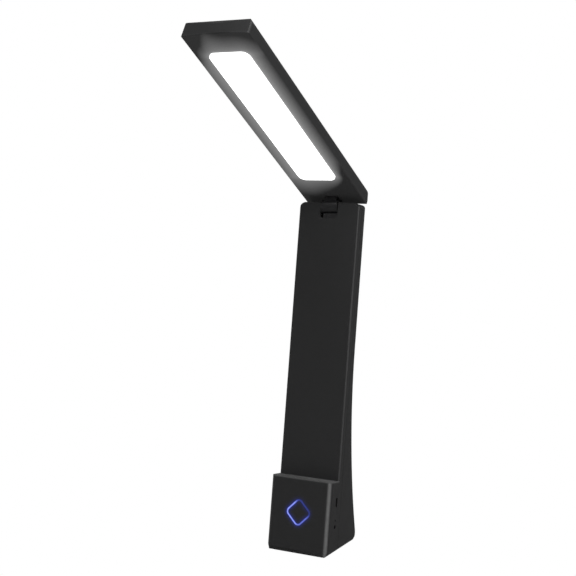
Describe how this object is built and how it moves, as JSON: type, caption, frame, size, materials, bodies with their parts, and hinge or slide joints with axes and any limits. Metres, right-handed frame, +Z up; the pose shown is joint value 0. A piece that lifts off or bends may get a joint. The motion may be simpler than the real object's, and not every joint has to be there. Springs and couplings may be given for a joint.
{
  "type": "folding desk lamp",
  "caption": "Folding desk lamp: a flat head with a lit panel, hinged on top of a leaning column that flares into a foot block with a touch switch ring and a charging socket.",
  "frame": {"origin": "on the desk, in the middle of the rubber sole", "axes": "+Z up, +X to the user's right when facing the touch switch, -Y towards the user and along the opened head, +Y towards the flared back"},
  "size_m": [0.052, 0.1862, 0.3901],
  "materials": {
    "black_shell": "fine matte texture, moulded ABS",
    "black_base": "plain matte moulding",
    "rubber_sole": "soft matte rubber",
    "steel_block": "bare mild steel",
    "steel_screw": "zinc plated",
    "axle_steel": "ground steel",
    "socket_steel": "nickel plated stamping",
    "battery_wrap": "shrink wrapped pouch cell",
    "red_lead": "insulated lead",
    "white_lead": "insulated lead",
    "green_board": "solder mask over glass fibre board",
    "black_parts": "moulded electronic parts",
    "smoked_lens": "smoked clear plastic",
    "blue_lens": "translucent light pipe, lit blue",
    "led_white": "white solder mask and LED packages",
    "led_yellow": "phosphor coated LED packages",
    "copper_plate": "bare copper sheet",
    "grey_foam": "conductive foam",
    "washer_nylon": "natural nylon",
    "black_nylon": "glass filled nylon",
    "opal_diffuser": "opal acrylic, lit white",
    "clear_guide": "clear acrylic light guide",
    "white_sheet": "white reflector film",
    "bare_aluminium": "bare sheet"
  },
  "bodies": {
    "stand": {"front_shell": "black_shell", "rear_shell": "black_shell", "base_cover": "black_base", "foot_pad": "rubber_sole", "ballast_block": "steel_block", "base_screws": "steel_screw", "ballast_screws": "steel_screw", "battery_pack": "battery_wrap", "battery_lead": "red_lead", "main_board": "green_board", "board_parts": "black_parts", "board_screws": "steel_screw", "charging_socket": "socket_steel", "socket_tongue": "black_parts", "indicator_lights": "smoked_lens", "ring_light_guide": "blue_lens", "ring_leds": "led_white", "touch_cap": "black_shell", "touch_plate": "copper_plate", "touch_foam": "grey_foam", "hinge_axle": "axle_steel", "axle_clamps": "steel_screw", "clamp_screws": "steel_screw", "hinge_washers": "washer_nylon", "lamp_lead": "white_lead"},
    "head": {"head_cover": "black_shell", "head_frame": "black_shell", "diffuser": "opal_diffuser", "light_guide": "clear_guide", "reflector_sheet": "white_sheet", "heat_spreader": "bare_aluminium", "led_bars": "led_white", "led_chips": "led_yellow", "junction_board": "green_board", "hinge_knuckle": "black_nylon", "friction_sleeve": "axle_steel", "knuckle_screws": "steel_screw", "head_lead": "white_lead"}
  },
  "joints": [
    {"name": "head_fold", "type": "hinge", "parent": "stand", "child": "head", "pos_m": [0, 0.03232, 0.2635], "axis": [1, 0, 0], "range_deg": [0, 113.2]}
  ]
}
